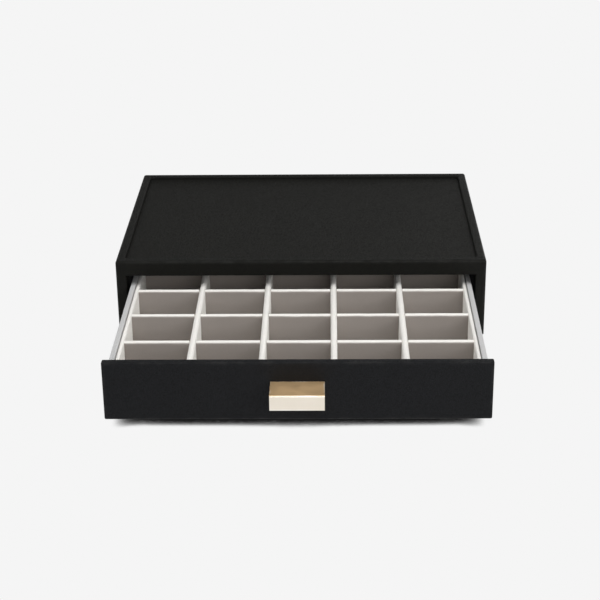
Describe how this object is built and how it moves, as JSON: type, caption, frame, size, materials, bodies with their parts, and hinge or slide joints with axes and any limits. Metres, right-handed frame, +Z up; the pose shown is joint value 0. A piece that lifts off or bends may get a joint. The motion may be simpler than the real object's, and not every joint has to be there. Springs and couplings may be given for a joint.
{
  "type": "cufflink box with drawer",
  "caption": "Low black leatherette jewellery case with a drawer that slides out to show a velvet tray of open compartments; a folded metal pull on its front and a raised rim on top.",
  "frame": {"origin": "centre of the case's footprint, on the surface that the felt under its foot plate stands on", "axes": "+Z up, the drawer opens towards -Y, +X to the right for someone facing the drawer front"},
  "size_m": [0.25, 0.3316, 0.057],
  "materials": {
    "black_leatherette": "fine-grained black leatherette with a soft satin sheen",
    "fibreboard": "bare medium density fibreboard, covered when assembled",
    "black_suede_paper": "matte black suede paper",
    "black_felt": "matte black felt",
    "glide_tape": "smooth low-friction tape",
    "black_stained_wood": "black stained softwood",
    "champagne_metal": "polished champagne-gold plate",
    "zinc_steel": "zinc-plated steel",
    "pale_grey_paper": "pale grey covering paper over thin board",
    "taupe_velvet": "short-pile pale taupe velvet"
  },
  "bodies": {
    "case": {"outer_wrap": "black_leatherette", "top_inlay": "black_leatherette", "top_board": "fibreboard", "bottom_board": "fibreboard", "left_side_board": "fibreboard", "right_side_board": "fibreboard", "back_board": "fibreboard", "front_rim_strip": "fibreboard", "right_rim_strip": "fibreboard", "back_rim_strip": "fibreboard", "left_rim_strip": "fibreboard", "floor_lining": "black_suede_paper", "ceiling_lining": "black_suede_paper", "left_lining": "black_suede_paper", "right_lining": "black_suede_paper", "back_lining": "black_suede_paper", "foot_board": "fibreboard", "foot_felt": "black_felt", "left_glide": "glide_tape", "right_glide": "glide_tape", "left_kicker": "black_stained_wood", "right_kicker": "black_stained_wood", "left_stop": "black_stained_wood", "right_stop": "black_stained_wood"},
    "drawer": {"pull": "champagne_metal", "pull_screws": "zinc_steel", "front_cover": "black_leatherette", "front_board": "fibreboard", "front_rear_sheet": "black_leatherette", "drawer_left_side": "pale_grey_paper", "drawer_right_side": "pale_grey_paper", "drawer_back": "pale_grey_paper", "drawer_bottom": "pale_grey_paper", "tray_base": "taupe_velvet", "tray_front_wall": "taupe_velvet", "tray_back_wall": "taupe_velvet", "tray_left_wall": "taupe_velvet", "tray_right_wall": "taupe_velvet", "row_divider_1": "taupe_velvet", "row_divider_2": "taupe_velvet", "row_divider_3": "taupe_velvet", "column_divider_1": "taupe_velvet", "column_divider_2": "taupe_velvet", "column_divider_3": "taupe_velvet", "column_divider_4": "taupe_velvet"}
  },
  "joints": [
    {"name": "drawer_slide", "type": "slide", "parent": "case", "child": "drawer", "axis": [0, -1, 0], "range_m": [-0.1325, 0.0089]}
  ]
}
